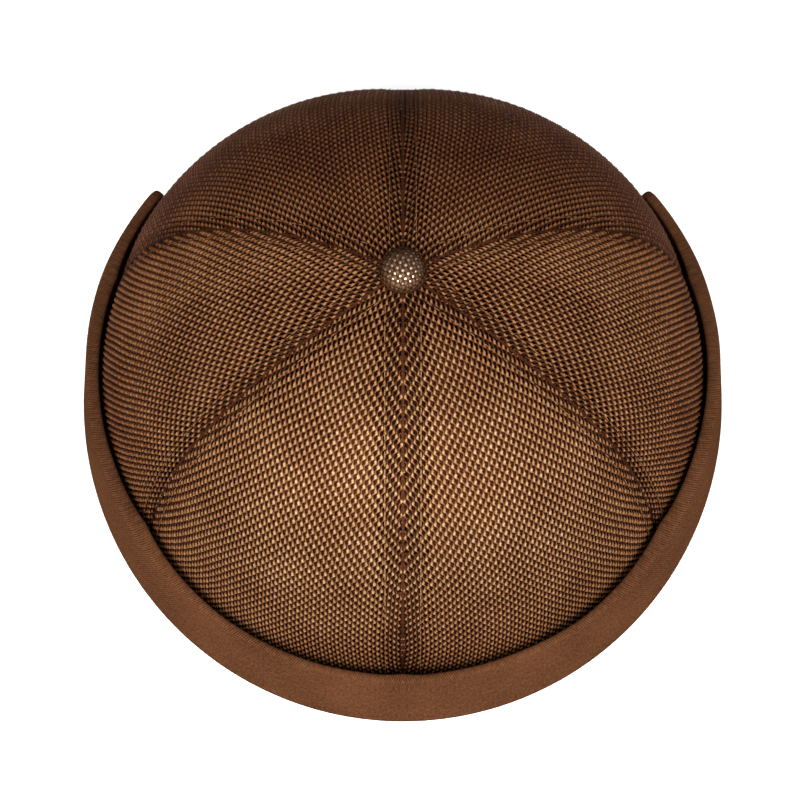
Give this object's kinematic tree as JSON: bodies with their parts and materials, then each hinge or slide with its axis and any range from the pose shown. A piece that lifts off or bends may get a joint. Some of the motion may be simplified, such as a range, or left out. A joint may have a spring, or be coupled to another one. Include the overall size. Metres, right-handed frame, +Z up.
{
  "type": "docker cap",
  "caption": "Round brimless cap: an open knit crown of gores meeting under a covered button, with a plain turned-up cloth cuff round the front and sides.",
  "frame": {"origin": "on the ground under the middle of the cap's footprint", "axes": "+Z up to the button, +X to the right as seen from the front, -Y towards the front, where the cuff is"},
  "size_m": [0.1976, 0.1952, 0.1151],
  "materials": {
    "knit": "open brown mesh knit with a soft sheen",
    "doubled_knit": "the same mesh knit, pressed double behind the seams",
    "twill": "fine matt brown twill",
    "button_metal": "bright smooth metal seen through the knit"
  },
  "bodies": {
    "root": {"crown_front_right": "knit", "crown_side_right": "knit", "crown_back_right": "knit", "crown_back_left": "knit", "crown_side_left": "knit", "crown_front_left": "knit", "seam_strip_front": "doubled_knit", "seam_strip_front_right": "doubled_knit", "seam_strip_rear_right": "doubled_knit", "seam_strip_back": "doubled_knit", "seam_strip_rear_left": "doubled_knit", "seam_strip_front_left": "doubled_knit", "rim_binding": "twill", "cuff": "twill", "button_core": "button_metal", "button_cover": "knit"}
  },
  "joints": []
}
